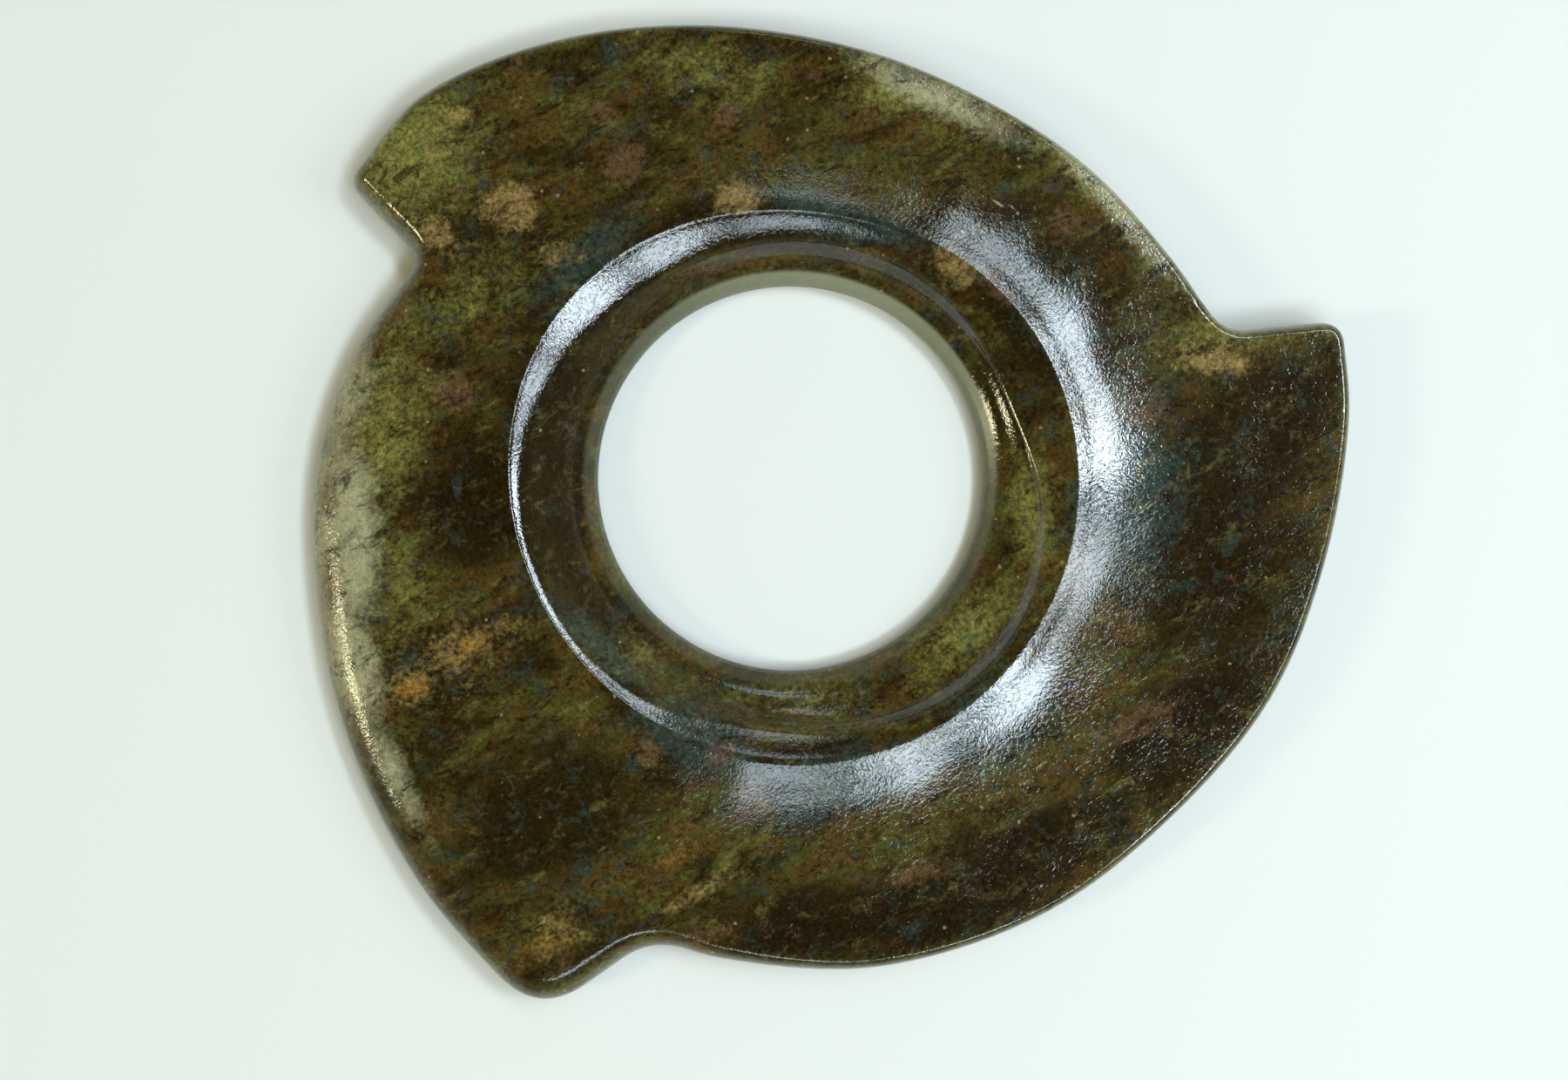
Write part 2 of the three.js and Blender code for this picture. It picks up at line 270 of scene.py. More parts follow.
def section_rows(angles):
    """The ring's section at every angle, from the bore's lower mouth to the shoulder of the face.

    Each station is a radius, a share of the crest's shift, and a height.
    """
    lip_share = facing(angles, LIP_TOWARDS, LIP_FOCUS)
    mouth = BORE_RADIUS + MOUTH_FLARE
    lip = mouth + MOUTH_ROUND_WIDTH
    lip_height = MOUTH_HEIGHT + MOUTH_ROUND_HEIGHT
    lip_width = between(LIP_LEAST_WIDTH, LIP_WIDTH, lip_share)
    lip_rise = lip_width * between(SLOPE_RISE_RATIO, LIP_RISE_RATIO, lip_share)
    foot = lip + lip_width
    crest = crest_radius_at(angles)
    shelf = shelf_width_at(angles)
    shelf_height = CREST_HEIGHT - shelf * shelf_ratio_at(angles)

    def mouth_station(share):
        rise = MOUTH_ROUND_HEIGHT * bulging(share, 0.1 + 0.5 * lip_share)
        return mouth + share * MOUTH_ROUND_WIDTH, 0, MOUTH_HEIGHT + rise

    def slope_station(share):
        return (between(foot, crest - shelf, share), 0.3 + 0.5 * share,
                between(lip_height + lip_rise, shelf_height, share))

    def shelf_station(share):
        return (crest - (1 - share) * shelf, 0.8 + 0.2 * share,
                between(shelf_height, CREST_HEIGHT, share))

    def face_station(out):
        return crest + out, 1, swept_height(out, angles)

    stations = [
        (BORE_RADIUS + UNDER_FLARE, 0, 0),
        (BORE_RADIUS + 0.3 * UNDER_FLARE, 0, 0.4 * WAIST_HEIGHT),
        (BORE_RADIUS, 0, WAIST_HEIGHT),
        (BORE_RADIUS + 0.4 * MOUTH_FLARE, 0, between(WAIST_HEIGHT, MOUTH_HEIGHT, 0.6)),
        mouth_station(0),
        mouth_station(0.35),
        mouth_station(0.7),
        (lip, 0.1, lip_height),
        (lip + 0.5 * lip_width, 0.2, lip_height + 0.5 * lip_rise),
        slope_station(0),
        slope_station(0.5),
        slope_station(0.9),
        shelf_station(0.2),
        shelf_station(0.75),
        shelf_station(1),
        face_station(0.8),
        face_station(0.5 * SHOULDER_WIDTH),
        face_station(SHOULDER_WIDTH),
    ]
    wide = np.ones_like(angles)
    spread = np.array([[value * wide for value in station] for station in stations])
    curve = smooth_curve(spread.transpose(0, 2, 1), SPAN_STEPS)
    flat = polar(angles, curve[..., 0]) + curve[..., 1:2] * CREST_SHIFT
    return np.concatenate([flat, np.maximum(curve[..., 2:], 0)], axis=-1)


def relaxed_rows(shoulder, outline):
    """Rows of points from the shoulder to the outline, relaxed until they bunch in no notch."""
    share = np.linspace(0, 1, RELAX_ROWS + 1)[:, None, None]
    rows = shoulder + share * (outline - shoulder)
    for _ in range(RELAX_ROUNDS):
        inner, own, outer = rows[:-2], rows[1:-1], rows[2:]
        before, after = np.roll(own, 1, axis=1), np.roll(own, -1, axis=1)
        along_step, across_step = 0.5 * (after - before), 0.5 * (outer - inner)
        twist = 0.25 * (np.roll(outer, -1, axis=1) - np.roll(outer, 1, axis=1)
                        - np.roll(inner, -1, axis=1) + np.roll(inner, 1, axis=1))
        along_weight = (across_step**2).sum(-1, keepdims=True)
        across_weight = (along_step**2).sum(-1, keepdims=True)
        slant = (along_step * across_step).sum(-1, keepdims=True)
        goal = ((after + before) * along_weight + (outer + inner) * across_weight - 2 * slant * twist)
        rows[1:-1] = 0.3 * own + 0.35 * goal / (along_weight + across_weight)
    return rows


def distance_to_outline(points, outline):
    """How far each point lies from the nearest side of the closed outline."""
    side = np.roll(outline, -1, axis=0) - outline
    nearest = np.full(len(points), np.inf)
    for start, step in zip(outline, side):
        offset = points - start
        share = np.clip(offset @ step / (step @ step), 0, 1)
        nearest = np.minimum(nearest, np.linalg.norm(offset - share[:, None] * step, axis=1))
    return nearest


def roundness(distance, width):
    """A quarter round: zero at the outline, one at its full width in from the outline."""
    left = 1 - np.minimum(distance / width, 1)
    return np.sqrt(1 - left**2)


def edge_round_at(points):
    """How far in from the outline the upper round of the edge reaches."""
    angle = np.arctan2(points[:, 1], points[:, 0])
    return EDGE_ROUND + EDGE_ROUND_SWELL_WIDTH * facing(angle, EDGE_SOFT_TOWARDS, EDGE_SOFT_FOCUS)


class Paths:
    """One path from each point of the outline inwards to the shoulder, read at any distance."""

    def __init__(self, rows, outline):
        self.outline = outline
        self.curves = smooth_curve(rows[::-1], PATH_STEPS)
        steps = np.linalg.norm(np.diff(self.curves, axis=0), axis=-1)
        self.runs = np.concatenate([np.zeros((1, len(outline))), np.cumsum(steps, axis=0)])
        side = np.roll(outline, -1, axis=0) - np.roll(outline, 1, axis=0)
        side /= np.linalg.norm(side, axis=1, keepdims=True)
        leave = self.curves[1] - self.curves[0]
        leave /= np.linalg.norm(leave, axis=1, keepdims=True)
        squareness = np.abs(side[:, 0] * leave[:, 1] - side[:, 1] * leave[:, 0])
        self.slant = np.maximum(squareness, LEAST_SLANT)

    def lengths(self):
        return self.runs[-1]

    def at(self, distances):
        points = np.empty_like(self.outline)
        for column in range(len(self.outline)):
            for axis in range(2):
                points[column, axis] = np.interp(
                    distances[column], self.runs[:, column], self.curves[:, column, axis])
        return points


def with_height(points, height):
    return np.concatenate([points, np.broadcast_to(height, len(points))[:, None]], axis=1)


def evened(values):
    """Values along a closed row, averaged over a few neighbours each way."""
    for _ in range(EVENING_ROUNDS):
        values = 0.5 * values + 0.25 * (np.roll(values, 1) + np.roll(values, -1))
    return values


def edge_rows(paths, count, width, height_at):
    """Rows from the outline inwards, closest together where the round is steepest."""
    rows = []
    for step in range(1, count + 1):
        share = EDGE_REACH * (1 - np.cos(0.5 * np.pi * step / count))
        points = paths.at(share * width / paths.slant)
        distance = distance_to_outline(points, paths.outline)
        rows.append(with_height(points, evened(height_at(points, distance))))
    return rows


def upper_height(points, distance):
    rise = face_height(points) - EQUATOR_HEIGHT
    return EQUATOR_HEIGHT + rise * roundness(distance, edge_round_at(points))


def under_height(points, distance):
    return EQUATOR_HEIGHT * (1 - roundness(distance, UNDER_ROUND))


def middle_rows(paths, travelled, count):
    """Rows that share out what is left of each path between its edge and the shoulder."""
    lengths = paths.lengths()
    rows = []
    for step in range(1, count + 1):
        points = paths.at(travelled + (lengths - travelled) * step / (count + 1))
        rows.append(with_height(points, face_height(points)))
    return rows


def hand_waves(points):
    """Long shallow waves in the polish, in millimetres of height."""
    pick = np.random.RandomState(WAVE_SEED)
    height = np.zeros(points.shape[:-1])
    for _ in range(WAVE_COUNT):
        turn = pick.uniform(0, 2 * np.pi)
        length = pick.uniform(*WAVE_LENGTHS)
        phase = pick.uniform(0, 2 * np.pi)
        ahead = points[..., 0] * np.cos(turn) + points[..., 1] * np.sin(turn)
        height += WAVE_HEIGHT * length / WAVE_LENGTHS[1] * np.sin(2 * np.pi * ahead / length + phase)
    return height


def stone_rows(outline):
    """Every row of the stone, wound once round the ring's section."""
    section = section_rows(spread_angles(outline))
    shoulder = section[-1, :, :2]
    paths = Paths(relaxed_rows(shoulder, outline), outline)
    width = edge_round_at(outline)
    upper = edge_rows(paths, UPPER_EDGE_ROWS, width, upper_height)
    middle = middle_rows(paths, EDGE_REACH * width / paths.slant, MIDDLE_ROWS)
    under_width = np.full(len(outline), UNDER_ROUND)
    under = edge_rows(paths, UNDER_EDGE_ROWS, under_width, under_height)
    under_edge = EDGE_REACH * UNDER_ROUND / paths.slant
    under_face = [with_height(paths.at(under_edge + step), 0.0) for step in UNDER_FACE_WIDTHS]
    under_ring = [with_height(between(shoulder, section[0, :, :2], share), 0.0)
                  for share in UNDER_RING_SHARES]
    rows = [*section, *middle[::-1], *upper[::-1], with_height(outline, EQUATOR_HEIGHT), *under,
            *under_face, *under_ring]
    return np.array(rows)


def wavy(rows):
    """The hand's waves on the upper faces, fading out towards the edge and the bore's wall."""
    share = np.clip((rows[..., 2] - WAVE_FOOT_HEIGHT) / WAVE_FADE_HEIGHT, 0, 1)
    raised = rows.copy()
    raised[..., 2] += np.where(rows[..., 2] > EQUATOR_HEIGHT, share * hand_waves(rows), 0)
    return raised


def ring_faces(row_count, count):
    """Four corners for each face between one row and the next, the last row joined to the first."""
    row, step = np.meshgrid(np.arange(row_count), np.arange(count), indexing="ij")
    above, following = (row + 1) % row_count, (step + 1) % count
    corners = [row * count + step, above * count + step,
               above * count + following, row * count + following]
    return np.stack(corners, axis=-1).reshape(-1, 4)


def to_row_frame(points, low):
    """Millimetres about the bore's axis as metres about the bottom centre of the stone's box."""
    return (points - low) * MM


def build_stone():
    outline = outline_points()
    rows = wavy(stone_rows(outline))
    low = np.array([*(0.5 * (outline.min(0) + outline.max(0))), 0.0])
    points = rows.reshape(-1, 3)
    mesh = bpy.data.meshes.new("polished_jade_disc")
    mesh.from_pydata(to_row_frame(points, low).tolist(), [], ring_faces(*rows.shape[:2]).tolist())
    mesh.polygons.foreach_set("use_smooth", [True] * len(mesh.polygons))
    mesh.update()
    add_fields(mesh, points, outline)
    stone = bpy.data.objects.new("polished_jade_disc", mesh)
    bpy.context.scene.collection.objects.link(stone)
    return stone


# Where the bore's axis stands in the row frame
BORE_PLACE = np.array([-4.265, 3.707])

# The camera looks straight down, with the photograph's upper side towards +Y
CAMERA_ABOVE_EDGE = 200.0
CAMERA_LENS = 43.0
CAMERA_SENSOR = 36.0
CAMERA_CLIP_START = 0.01
CAMERA_ASIDE = (-4.92, -2.90)

# Marks on the stone, as the photograph shows them: centre x and y, half length and half width, the
# direction of the length, and how strong the mark is. Most are the stone's own colour; the teal zones are
# painted sheen, and some pale and olive zones are partly painted sheen, glow and light
RUSSET_SPOTS = [
    (-36.0, 9.2, 2.7, 2.5, 0, 1.0), (-17.8, 33.6, 3.2, 2.6, 20, 0.8), (-20.2, 39.0, 2.1, 1.7, 0, 0.6),
    (-6.7, 38.6, 2.0, 1.8, 0, 0.8), (29.6, 27.3, 3.0, 2.2, 0, 0.5), (-15.1, -29.4, 1.7, 1.7, 0, 0.8),
    (-3.9, -34.5, 2.5, 2.3, 0, 0.9), (-42.5, 18.0, 3.0, 2.0, 60, 0.5), (37.5, 6.5, 4.5, 3.4, 0, 0.5),
    (14.0, -42.0, 6.0, 1.6, 20, 0.5), (37.0, -26.0, 6.0, 2.2, 25, 0.5), (-7.5, -29.5, 2.4, 2.0, 0, 0.6),
    (-49.2, -2.0, 3.0, 1.3, 90, 0.8), (-49.0, -11.0, 4.0, 1.5, 95, 0.7),
    (-45.6, -28.0, 5.0, 1.0, 112, 0.6), (-38.0, 35.5, 1.6, 1.2, 0, 0.6),
    (22.0, 20.5, 3.0, 1.6, -45, 0.7), (-8.0, -48.5, 5.0, 1.4, 20, 0.5),
]
TAN_SPOTS = [
    (-29.8, 29.0, 3.9, 3.1, 10, 1.0), (-5.3, 29.8, 3.3, 2.3, 0, 0.9), (-37.5, 25.5, 3.4, 2.4, -30, 0.5),
    (-25.0, 24.0, 3.0, 1.6, 0, 0.4), (45.5, 12.6, 5.0, 2.2, -10, 0.7), (17.5, 22.5, 3.4, 2.0, -40, 0.5),
    (-24.5, -47.8, 3.2, 2.4, 0, 0.3), (-9.5, -44.0, 6.5, 1.0, 28, 0.35),
    (-36.0, -19.0, 8.0, 4.0, 28, 0.35), (-35.0, 38.5, 2.0, 1.4, 0, 0.6),
]
ORANGE_STREAKS = [
    (-39.9, -22.2, 3.0, 1.5, 25, 1.0), (-34.0, -17.6, 4.2, 1.6, 28, 0.7), (-30.5, -15.5, 2.6, 1.0, 10, 0.5),
    (-26.0, -50.0, 4.0, 1.6, 30, 0.4), (-12.0, -40.5, 5.0, 1.3, 25, 0.4),
]
# Mostly the stone's own olive; the zones on the lip inside the crest at the right and the bottom are partly
# painted light where the lip faces the lamps, and those along the left edge partly painted glow
OLIVE_AND_PAINTED_LIGHT_ZONES = [
    (-40.0, 34.5, 9.0, 7.5, 40, 1.0), (-43.0, 6.0, 12.0, 5.0, 78, 0.6),
    (-42.0, -12.0, 12.0, 4.0, 100, 0.35),
    (46.0, 15.0, 8.0, 4.0, 0, 0.5), (18.0, -17.0, 9.0, 4.0, 42, 0.7), (26.0, -4.0, 9.0, 3.0, 95, 0.8),
    (3.0, -24.0, 9.0, 1.8, 5, 0.15), (-9.0, 43.0, 9.0, 4.0, 0, 0.4), (12.0, 41.0, 10.0, 3.5, -20, 0.5),
    (30.0, 35.0, 14.0, 3.0, -48, 0.6), (-33.0, 20.0, 8.0, 4.0, 45, 0.3), (-16.0, -18.5, 4.0, 2.4, 140, 0.5),
]
# Partly the stone's own pale colour and partly painted sheen and glow on the rounded edges
PALE_AND_SHEEN_ZONES = [
    (-48.0, -6.0, 13.0, 4.6, 92, 1.0), (-47.0, -19.5, 9.0, 3.2, 107, 0.9),
    (-42.4, -31.5, 8.0, 1.6, 118, 0.5), (-47.5, 9.0, 8.0, 3.0, 74, 0.6),
    (16.0, 40.5, 11.0, 2.0, -26, 0.6), (34.0, 30.0, 12.0, 1.6, -50, 0.5),
]
DARK_ZONES = [
    (-33.5, -3.0, 8.0, 7.0, 80, 1.0), (-24.0, 3.0, 22.0, 3.0, 92, 0.9), (44.0, -4.0, 16.0, 11.0, 75, 0.9),
    (8.0, -47.0, 22.0, 4.6, 4, 1.0), (-26.0, -36.0, 12.0, 8.0, 20, 0.9), (42.0, -27.0, 12.0, 6.0, 45, 0.8),
    (26.0, 24.0, 8.0, 5.0, -30, 0.5), (0.0, 27.0, 16.0, 3.0, -4, 1.0), (-19.0, 20.0, 13.0, 3.4, 45, 1.0),
    (-27.5, 2.0, 15.0, 3.0, 92, 1.0), (-20.0, -14.0, 10.0, 2.6, 135, 0.8), (50.0, 4.0, 12.0, 8.0, 80, 0.8),
    (27.0, -40.0, 14.0, 5.0, 30, 0.9), (-12.0, 41.0, 6.0, 4.0, 10, 0.3), (24.0, 16.0, 8.0, 1.8, -55, 0.7),
    (-22.0, 20.0, 5.0, 2.6, 60, 0.6), (3.0, -29.5, 12.0, 1.6, 4, 0.5),
]
# Painted sheen: a blue-green tint laid along the crest ring, where a dim sheen falls and fades out
TEAL_SHEEN_ZONES = [
    (36.0, 0.0, 13.0, 7.0, 84, 0.9), (22.0, -26.0, 9.0, 5.0, 40, 0.7), (4.0, -33.0, 12.0, 4.5, 12, 0.9),
    (-10.0, -28.0, 9.0, 4.0, -28, 0.9), (-22.0, 23.5, 9.0, 2.4, 42, 0.7), (6.0, 27.5, 11.0, 2.4, -16, 0.9),
    (28.0, 18.0, 9.0, 4.0, -55, 0.5), (-21.0, -17.5, 8.0, 2.4, -42, 0.6),
]
PALE_DASH = [(22.7, 29.2, 1.9, 0.28, -20, 1.0)]
# How far in from the outline the rim field reaches; it carries the painted glow along the edge, the pink
# blotches and the deeper relief of the worn rim
RIM_DEPTH = 4.5

# The bore's wall, painted paler as a reflection of the bright floor and most on one side, and how soon that
# painted reflection fades out at the mouth
WALL_PALE_TOWARDS = 65.0
WALL_PALE_FOCUS = 3.0
WALL_LEAST_SHARE = 0.15
WALL_MARGIN_HEIGHT = 0.3
WALL_MARGIN_WIDTH = 0.5
WALL_FADE = 0.3


def as_photographed(points):
    """Where each point shows in the photograph, as a place at the height of the edge."""
    centre = np.array(CAMERA_ASIDE) - BORE_PLACE
    nearness = CAMERA_ABOVE_EDGE / (CAMERA_ABOVE_EDGE + EQUATOR_HEIGHT - points[:, 2:])
    return centre + (points[:, :2] - centre) * nearness


def mark_field(places, marks):
    """One in the middle of a mark, falling to zero at its border and below zero outside it."""
    field = np.full(len(places), -1.0)
    for x, y, half_length, half_width, direction, strength in marks:
        turn = np.radians(direction)
        offset = places - (x, y)
        ahead = (offset[:, 0] * np.cos(turn) + offset[:, 1] * np.sin(turn)) / half_length
        aside = (-offset[:, 0] * np.sin(turn) + offset[:, 1] * np.cos(turn)) / half_width
        field = np.maximum(field, strength * (1 - np.hypot(ahead, aside)))
    return field


def wall_reflection_field(points):
    """One on the bore's wall where a painted reflection of the floor lies, strongest on one side, zero off
    it.
    """
    top = MOUTH_HEIGHT + WALL_MARGIN_HEIGHT
    border = BORE_RADIUS + MOUTH_FLARE + WALL_MARGIN_WIDTH
    below = np.clip((top - points[:, 2]) / WALL_FADE, 0, 1)
    inside = np.clip((border - np.linalg.norm(points[:, :2], axis=1)) / WALL_FADE, 0, 1)
    pale = facing(np.arctan2(points[:, 1], points[:, 0]), WALL_PALE_TOWARDS, WALL_PALE_FOCUS)
    return below * inside * between(WALL_LEAST_SHARE, 1, pale)


def add_fields(mesh, points, outline):
    """The marks, the painted reflection on the bore's wall and the closeness to the edge, kept on the mesh
    for the material.
    """
    places = as_photographed(points)
    fields = {
        "teal_sheen": mark_field(places, TEAL_SHEEN_ZONES),
        "russet": mark_field(places, RUSSET_SPOTS),
        "tan": mark_field(places, TAN_SPOTS),
        "orange": mark_field(places, ORANGE_STREAKS),
        "olive_and_painted_light": mark_field(places, OLIVE_AND_PAINTED_LIGHT_ZONES),
        "pale": mark_field(places, PALE_AND_SHEEN_ZONES),
        "dark": mark_field(places, DARK_ZONES),
        "dash": mark_field(places, PALE_DASH),
        "wall": wall_reflection_field(points),
        "rim": 1 - np.clip(distance_to_outline(points[:, :2], outline) / RIM_DEPTH, 0, 1),
    }
    for name, values in fields.items():
        layer = mesh.attributes.new(name, "FLOAT", "POINT")
        layer.data.foreach_set("value", values.astype(np.float32))


class Shader:
    """Short calls that add nodes to one material and join them."""

    def __init__(self, name):
        self.material = bpy.data.materials.new(name)
        self.material.use_nodes = True
        self.tree = self.material.node_tree
        self.surface = self.tree.nodes["Principled BSDF"]

    def put(self, socket, value):
        if isinstance(value, bpy.types.NodeSocket):
            self.tree.links.new(value, socket)
        else:
            socket.default_value = value

    def node(self, kind, inputs=None, **settings):
        made = self.tree.nodes.new(kind)
        for name, value in settings.items():
            setattr(made, name, value)
        for name, value in (inputs or {}).items():
            self.put(made.inputs[name], value)
        return made

    def math(self, operation, first, second=0.0, third=0.0, clamp=False):
        made = self.node("ShaderNodeMath", operation=operation, use_clamp=clamp)
        for index, value in enumerate((first, second, third)):
            self.put(made.inputs[index], value)
        return made.outputs[0]

    def noise(self, place, scale, detail=4.0, roughness=0.6, distortion=0.0, layer=0.0):
        """Smooth noise; each layer of the same scale has a pattern of its own."""
        made = self.node("ShaderNodeTexNoise", noise_dimensions="4D")
        for name, value in {"Vector": place, "W": layer, "Scale": scale, "Detail": detail,
                            "Roughness": roughness, "Distortion": distortion}.items():
            self.put(made.inputs[name], value)
        return made.outputs["Fac"]

    def step(self, value, low, high):
        """Zero below low, one above high, smooth between."""
        made = self.node("ShaderNodeMapRange", {"Value": value, "From Min": low, "From Max": high},
                         interpolation_type="SMOOTHSTEP")
        return made.outputs[0]

    def mix(self, share, first, second, blend="MIX"):
        made = self.node("ShaderNodeMix", data_type="RGBA", blend_type=blend)
        self.put(made.inputs[0], share)
        for index, value in ((6, first), (7, second)):
            self.put(made.inputs[index], (*value, 1.0) if isinstance(value, tuple) else value)
        return made.outputs[2]

    def field(self, name):
        return self.node("ShaderNodeAttribute", attribute_name=name).outputs["Fac"]

    def drawn_out(self, place, angle, length):
        """The place with every pattern on it drawn out along a direction."""
        made = self.node("ShaderNodeMapping", {"Vector": place, "Rotation": (0, 0, np.radians(angle)),
                                               "Scale": (length, 1.0, 1.0)}, vector_type="TEXTURE")
        return made.outputs[0]

    def grey(self, value):
        return self.node("ShaderNodeCombineColor", {0: value, 1: value, 2: value}).outputs[0]


# Colours of the jade, as linear light, and of the painted reflection on the bore's wall
DARK = (0.014, 0.0075, 0.0018)
BROWN = (0.070, 0.038, 0.008)
GREEN = (0.062, 0.058, 0.012)
# Blue-green of the stone's mottle, also used for the painted sheen along the crest ring
TEAL = (0.030, 0.046, 0.038)
# OLIVE also tints the painted glow along the edge and the painted light on the lip
OLIVE = (0.195, 0.180, 0.045)
# The pale zones' colour, partly painted sheen and glow
PALE_OLIVE = (0.370, 0.345, 0.195)
# Painted reflection of the bright floor on the bore's wall
WALL_REFLECTION = (0.300, 0.310, 0.200)
RUSSET = (0.125, 0.066, 0.032)
TAN = (0.290, 0.190, 0.066)
ORANGE = (0.270, 0.130, 0.028)
PINK = (0.270, 0.165, 0.105)
FLECK = (0.400, 0.340, 0.200)

# Directions and lengths of the patterns, and how many of each lie along a millimetre
STREAK_ANGLE = 27.0
STREAK_LENGTH = 2.2
CLOUD_SCALE = 0.12
MOTTLE_SCALE = 0.36
PATCH_SCALE = 0.75
GRAIN_SCALE = 1.9
FINE_SCALE = 4.0
FLECK_CELLS = 0.50
RELIEF_SCALE = 2.2
DASH_ANGLE = 40.0
DASH_LENGTH = 1.6

# How much of the painted reflection on the bore's wall shows, and the depth of the relief in metres
WALL_REFLECTION_SHARE = 0.7
RELIEF_DEPTH = 0.000022
WORN_RIM_DEPTH = 0.00008

# The polish: how rough it is at least, and how much patches, pits and the bore's wall add to it
LEAST_ROUGHNESS = 0.06
PATCH_ROUGHNESS = 0.05
PIT_ROUGHNESS = 0.04
WALL_ROUGHNESS = 0.4
STONE_IOR = 1.6


def jade_material():
    s = Shader("polished_mottled_jade")
    place = s.node("ShaderNodeTexCoord").outputs["Object"]
    place = s.node("ShaderNodeVectorMath", {0: place, "Scale": 1 / MM}, operation="SCALE").outputs[0]
    streaked = s.drawn_out(place, STREAK_ANGLE, STREAK_LENGTH)
    clouds = s.noise(streaked, CLOUD_SCALE, 6, 0.62, 0.6)
    mottle = s.noise(streaked, MOTTLE_SCALE, 5, 0.68, 0.5)
    patches = s.noise(place, PATCH_SCALE, 5, 0.7, 0.5)
    grain = s.noise(place, GRAIN_SCALE, 3, 0.7, 0.4)
    fine = s.noise(place, FINE_SCALE, 1, 0.6)
    ragged = s.math("MULTIPLY_ADD", mottle, 1.9, s.math("MULTIPLY_ADD", patches, 1.4, -1.65))
    ragged = s.math("MULTIPLY_ADD", s.math("SUBTRACT", grain, 0.5), 0.8, ragged)

    colour = s.mix(s.step(s.math("MULTIPLY_ADD", patches, 0.6, mottle), 0.70, 0.92), BROWN, GREEN)
    colour = s.mix(s.math("MULTIPLY", s.step(clouds, 0.56, 0.42), 0.75), colour, DARK)

    def lay(colour, name, tint, low, high, most, reach=0.6):
        field = s.math("MULTIPLY_ADD", ragged, reach, s.field(name))
        return s.mix(s.math("MULTIPLY", s.step(field, low, high), most), colour, tint)

    colour = lay(colour, "dark", DARK, -0.15, 0.4, 0.9)
    # The teal zones lay painted sheen along the crest ring
    colour = lay(colour, "teal_sheen", TEAL, -0.1, 0.5, 0.8)
    # Partly painted light on the lip and painted glow at the left edge, besides the stone's own olive
    colour = lay(colour, "olive_and_painted_light", OLIVE, -0.1, 0.75, 0.85)
    # The pale zones are partly painted sheen and glow on the rounded edges
    colour = lay(colour, "pale", PALE_OLIVE, -0.15, 0.6, 0.95, 0.3)
    colour = lay(colour, "russet", RUSSET, 0.0, 0.45, 0.65)
    colour = lay(colour, "tan", TAN, 0.0, 0.5, 0.7)
    colour = lay(colour, "orange", ORANGE, 0.0, 0.7, 0.8, 0.8)
    # Painted glow: olive laid along the whole outline stands in for light shining through the thin edge
    rim = s.step(s.math("MULTIPLY_ADD", ragged, 0.3, s.field("rim")), 0.55, 1.0)
    colour = s.mix(s.math("MULTIPLY", rim, 0.35), colour, OLIVE)

    greens = s.step(s.noise(streaked, 0.55, 5, 0.75, 0.6, 11.0), 0.53, 0.68)
    colour = s.mix(s.math("MULTIPLY", greens, 0.35), colour, OLIVE)
    blues = s.step(s.noise(place, 0.40, 5, 0.75, 0.6, 23.0), 0.52, 0.64)
    colour = s.mix(s.math("MULTIPLY", blues, 0.55), colour, TEAL)
    reds = s.step(s.noise(place, 0.60, 5, 0.75, 0.6, 37.0), 0.54, 0.68)
    colour = s.mix(s.math("MULTIPLY", reds, 0.5), colour, RUSSET)
    blush = s.step(s.noise(place, 0.5, 4, 0.7, 0.5, 51.0), 0.50, 0.62)
    blush = s.math("MULTIPLY", blush, s.field("rim"))
    blush = s.math("MULTIPLY", blush, s.step(s.field("pale"), -0.1, 0.4))
    colour = s.mix(s.math("MULTIPLY", blush, 0.45), colour, PINK)
    # Darker flecks laid into the colour; no hollow is modelled under them
    dark_flecks = s.step(s.noise(streaked, 0.50, 6, 0.8, 0.8, 67.0), 0.49, 0.38)
    colour = s.mix(s.math("MULTIPLY", dark_flecks, 0.8), colour, DARK)
    contrast = s.math("MULTIPLY_ADD", s.step(s.field("pale"), -0.1, 0.3), -2.2, 3.2)
    shade = s.math("MULTIPLY_ADD", s.math("SUBTRACT", grain, 0.5), contrast, 1.0)
    shade = s.math("MULTIPLY_ADD", s.math("SUBTRACT", fine, 0.5), 1.0, shade)
    colour = s.mix(1.0, colour, s.grey(s.math("MAXIMUM", shade, 0.3)), "MULTIPLY")

    # Painted reflection: the bore's wall turns pale grey-green as if it mirrored the floor, most on one
    # side
    colour = s.mix(s.math("MULTIPLY", s.field("wall"), WALL_REFLECTION_SHARE), colour, WALL_REFLECTION)
    cells = s.node("ShaderNodeTexVoronoi", {"Vector": place, "Scale": FLECK_CELLS})
    chance = s.node("ShaderNodeSeparateColor", {0: cells.outputs["Color"]}).outputs[0]
    near = s.math("MULTIPLY_ADD", s.math("SUBTRACT", fine, 0.5), 0.16, cells.outputs["Distance"])
    dots = s.math("MULTIPLY", s.step(near, 0.12, 0.05), s.math("GREATER_THAN", chance, 0.7))
    colour = s.mix(s.math("MULTIPLY", dots, 0.5), colour, FLECK)
    dash = s.step(s.math("MULTIPLY_ADD", ragged, 0.2, s.field("dash")), 0.0, 0.4)
    colour = s.mix(s.math("MULTIPLY", dash, 0.7), colour, FLECK)

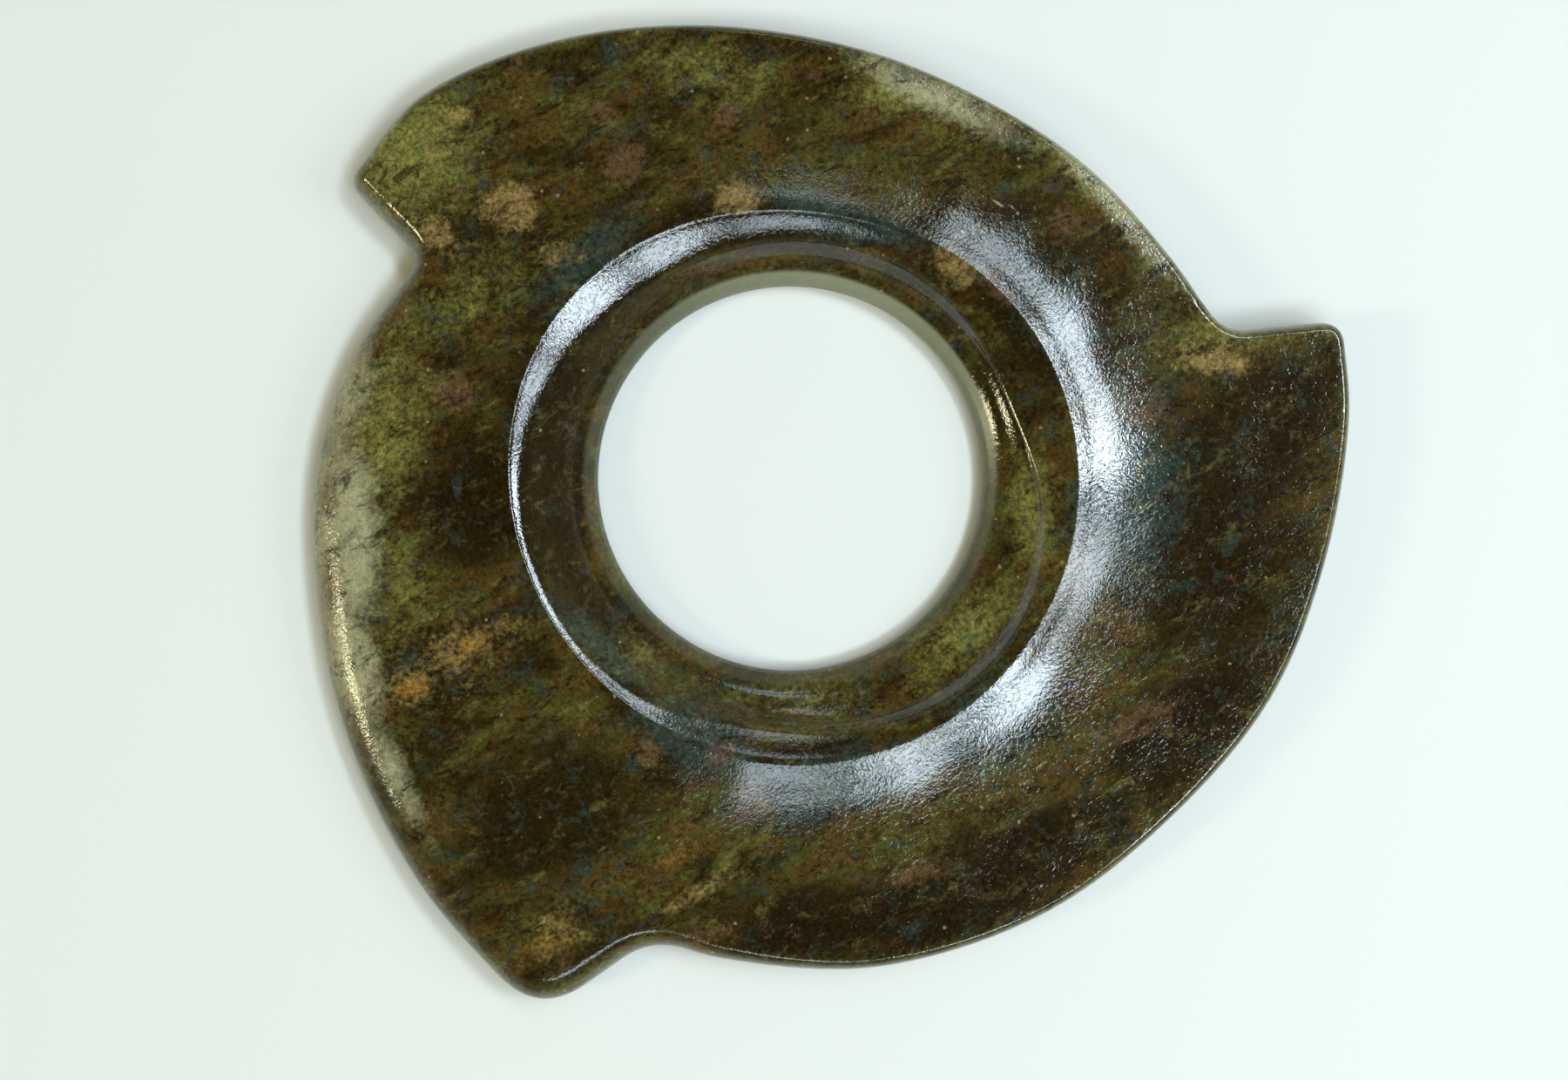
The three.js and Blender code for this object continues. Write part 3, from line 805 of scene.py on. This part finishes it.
    worn = s.noise(s.drawn_out(place, DASH_ANGLE, DASH_LENGTH), RELIEF_SCALE, 2, 0.7, 1.0)
    pits = s.step(worn, 0.57, 0.66)
    height = s.math("MULTIPLY_ADD", fine, 0.5, s.math("MULTIPLY", worn, -1.0))
    worn_rim = s.math("MULTIPLY", s.step(s.field("pale"), -0.1, 0.3), s.field("rim"))
    depth = s.math("MULTIPLY_ADD", worn_rim, WORN_RIM_DEPTH, RELIEF_DEPTH)
    bump = s.node("ShaderNodeBump", {"Strength": 1.0, "Distance": depth, "Height": height})

    roughness = s.math("MULTIPLY_ADD", patches, PATCH_ROUGHNESS, LEAST_ROUGHNESS)
    roughness = s.math("MULTIPLY_ADD", pits, PIT_ROUGHNESS, roughness)
    roughness = s.math("MULTIPLY_ADD", s.field("wall"), WALL_ROUGHNESS, roughness)

    s.put(s.surface.inputs["Base Color"], colour)
    s.put(s.surface.inputs["Roughness"], roughness)
    s.put(s.surface.inputs["Normal"], bump.outputs[0])
    s.put(s.surface.inputs["IOR"], STONE_IOR)
    return s.material


# The floor, in metres, a hair below the stone so that their faces don't flicker
FLOOR_SIZE = 3.0
FLOOR_BELOW = 0.0001
FLOOR_COLOUR = (0.79, 0.785, 0.755)
FLOOR_ROUGHNESS = 0.55
FLOOR_SPECULAR = 0.2

# The light from all round: how strong it is low down and overhead, and between which heights it falls
LOW_STRENGTH = 0.45
HIGH_STRENGTH = 0.02
FALL_FROM = 0.15
FALL_TO = 0.75

# The lights: name, azimuth, angle off the vertical, diameter in metres, watts, colour, and whether the
# polish mirrors it
WARM = (1.0, 0.95, 0.58)
COOL = (0.76, 0.90, 1.0)
LIGHT_DISTANCE = 0.90
LIGHTS = [
    ("window", -40, 32, 0.19, 1.9, COOL, True),
    ("window_side", -66, 32, 0.17, 1.1, COOL, True),
    ("window_corner", -92, 32, 0.17, 0.5, COOL, True),
    ("window_middle", -14, 32, 0.16, 0.9, COOL, True),
    ("window_gap", 11, 32, 0.14, 1.7, COOL, True),
    ("window_end", 32, 32, 0.15, 1.1, COOL, True),
    ("window_last", 54, 34, 0.15, 0.5, COOL, True),
    ("far_window", 85, 41, 0.20, 0.3, COOL, True),
    ("warm_lamp", 194, 59, 0.15, 1.5, WARM, True),
    ("low_window", -5, 54, 0.35, 1.8, COOL, False),
    ("room", 200, 12, 1.40, 1.4, WARM, False),
]


def build_floor():
    half = 0.5 * FLOOR_SIZE
    corners = [(-half, -half), (half, -half), (half, half), (-half, half)]
    mesh = bpy.data.meshes.new("floor")
    mesh.from_pydata([(x, y, -FLOOR_BELOW) for x, y in corners], [], [(0, 1, 2, 3)])
    s = Shader("pale_floor")
    s.put(s.surface.inputs["Base Color"], (*FLOOR_COLOUR, 1.0))
    s.put(s.surface.inputs["Roughness"], FLOOR_ROUGHNESS)
    s.put(s.surface.inputs["Specular IOR Level"], FLOOR_SPECULAR)
    mesh.materials.append(s.material)
    floor = bpy.data.objects.new("floor", mesh)
    bpy.context.scene.collection.objects.link(floor)


def area_light(name, azimuth, off_vertical, diameter, power, colour, mirrored):
    """A round soft light that faces the stone, placed by its direction from it."""
    light = bpy.data.lights.new(name, "AREA")
    light.shape = "DISK"
    light.size = diameter
    light.energy = power
    light.color = colour
    made = bpy.data.objects.new(name, light)
    turn, lean = np.radians(azimuth), np.radians(off_vertical)
    made.location = (LIGHT_DISTANCE * np.sin(lean) * np.cos(turn),
                     LIGHT_DISTANCE * np.sin(lean) * np.sin(turn), LIGHT_DISTANCE * np.cos(lean))
    made.rotation_euler = (0, lean, turn)
    made.visible_glossy = mirrored
    bpy.context.scene.collection.objects.link(made)


def build_world():
    """Warm soft light from all round, which is dim overhead."""
    world = bpy.data.worlds.new("soft_room")
    world.use_nodes = True
    tree = world.node_tree
    background = tree.nodes["Background"]
    up = tree.nodes.new("ShaderNodeTexCoord").outputs["Generated"]
    split = tree.nodes.new("ShaderNodeSeparateXYZ")
    tree.links.new(up, split.inputs[0])
    ramp = tree.nodes.new("ShaderNodeMapRange")
    ramp.interpolation_type = "SMOOTHSTEP"
    for name, value in {"From Min": FALL_FROM, "From Max": FALL_TO,
                        "To Min": LOW_STRENGTH, "To Max": HIGH_STRENGTH}.items():
        ramp.inputs[name].default_value = value
    tree.links.new(split.outputs[2], ramp.inputs["Value"])
    background.inputs["Color"].default_value = (*WARM, 1.0)
    tree.links.new(ramp.outputs[0], background.inputs["Strength"])
    bpy.context.scene.world = world


def build_lights():
    build_world()
    for light in LIGHTS:
        area_light(*light)


def build_camera():
    camera = bpy.data.cameras.new("camera")
    camera.lens = CAMERA_LENS
    camera.sensor_width = CAMERA_SENSOR
    camera.clip_start = CAMERA_CLIP_START
    made = bpy.data.objects.new("camera", camera)
    across, along_photo = CAMERA_ASIDE
    made.location = (across * MM, along_photo * MM, (EQUATOR_HEIGHT + CAMERA_ABOVE_EDGE) * MM)
    bpy.context.scene.collection.objects.link(made)
    bpy.context.scene.camera = made


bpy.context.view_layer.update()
bpy.context.scene.view_settings.view_transform = "Standard"
build_camera()
stone = build_stone()
stone.data.materials.append(jade_material())
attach(stone, "root")
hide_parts(NODE)
build_floor()
build_lights()
